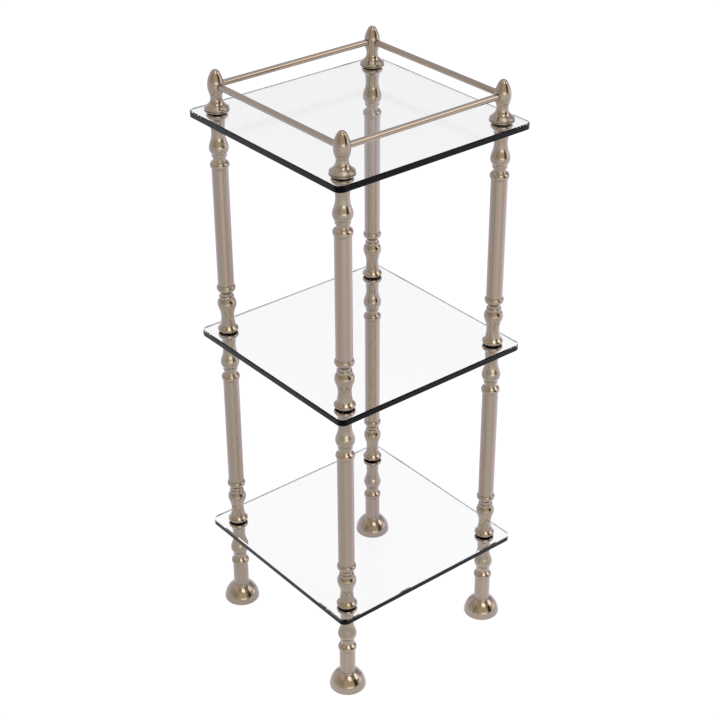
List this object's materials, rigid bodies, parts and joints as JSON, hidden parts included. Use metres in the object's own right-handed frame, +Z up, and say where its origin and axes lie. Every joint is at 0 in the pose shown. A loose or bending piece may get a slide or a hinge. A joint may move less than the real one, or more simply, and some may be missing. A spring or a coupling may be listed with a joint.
{
  "type": "etagere",
  "caption": "Square etagere with clear glass shelves on turned metal posts, with domed feet, finials and a low gallery rail.",
  "frame": {"origin": "on the floor, under the middle of the square of the four posts", "axes": "+Z up, X and Y along the sides of the square shelves, front at -Y"},
  "size_m": [0.3556, 0.3556, 0.9575],
  "materials": {
    "turned_metal": "polished warm pewter plating",
    "tube_metal": "satin warm pewter plating",
    "glass": "clear, polished edges",
    "rubber": "matte black"
  },
  "bodies": {
    "root": {"shelf_bottom": "glass", "shelf_middle": "glass", "shelf_top": "glass", "foot_front_left": "turned_metal", "tube_leg_front_left": "tube_metal", "tube_lower_front_left": "tube_metal", "tube_upper_front_left": "tube_metal", "grommet_bottom_front_left": "rubber", "connector_under_bottom_front_left": "turned_metal", "connector_over_bottom_front_left": "turned_metal", "grommet_middle_front_left": "rubber", "connector_under_middle_front_left": "turned_metal", "connector_over_middle_front_left": "turned_metal", "grommet_top_front_left": "rubber", "connector_under_top_front_left": "turned_metal", "finial_front_left": "turned_metal", "foot_front_right": "turned_metal", "tube_leg_front_right": "tube_metal", "tube_lower_front_right": "tube_metal", "tube_upper_front_right": "tube_metal", "grommet_bottom_front_right": "rubber", "connector_under_bottom_front_right": "turned_metal", "connector_over_bottom_front_right": "turned_metal", "grommet_middle_front_right": "rubber", "connector_under_middle_front_right": "turned_metal", "connector_over_middle_front_right": "turned_metal", "grommet_top_front_right": "rubber", "connector_under_top_front_right": "turned_metal", "finial_front_right": "turned_metal", "foot_back_left": "turned_metal", "tube_leg_back_left": "tube_metal", "tube_lower_back_left": "tube_metal", "tube_upper_back_left": "tube_metal", "grommet_bottom_back_left": "rubber", "connector_under_bottom_back_left": "turned_metal", "connector_over_bottom_back_left": "turned_metal", "grommet_middle_back_left": "rubber", "connector_under_middle_back_left": "turned_metal", "connector_over_middle_back_left": "turned_metal", "grommet_top_back_left": "rubber", "connector_under_top_back_left": "turned_metal", "finial_back_left": "turned_metal", "foot_back_right": "turned_metal", "tube_leg_back_right": "tube_metal", "tube_lower_back_right": "tube_metal", "tube_upper_back_right": "tube_metal", "grommet_bottom_back_right": "rubber", "connector_under_bottom_back_right": "turned_metal", "connector_over_bottom_back_right": "turned_metal", "grommet_middle_back_right": "rubber", "connector_under_middle_back_right": "turned_metal", "connector_over_middle_back_right": "turned_metal", "grommet_top_back_right": "rubber", "connector_under_top_back_right": "turned_metal", "finial_back_right": "turned_metal", "rail_front": "tube_metal", "rail_back": "tube_metal", "rail_left": "tube_metal", "rail_right": "tube_metal"}
  },
  "joints": []
}
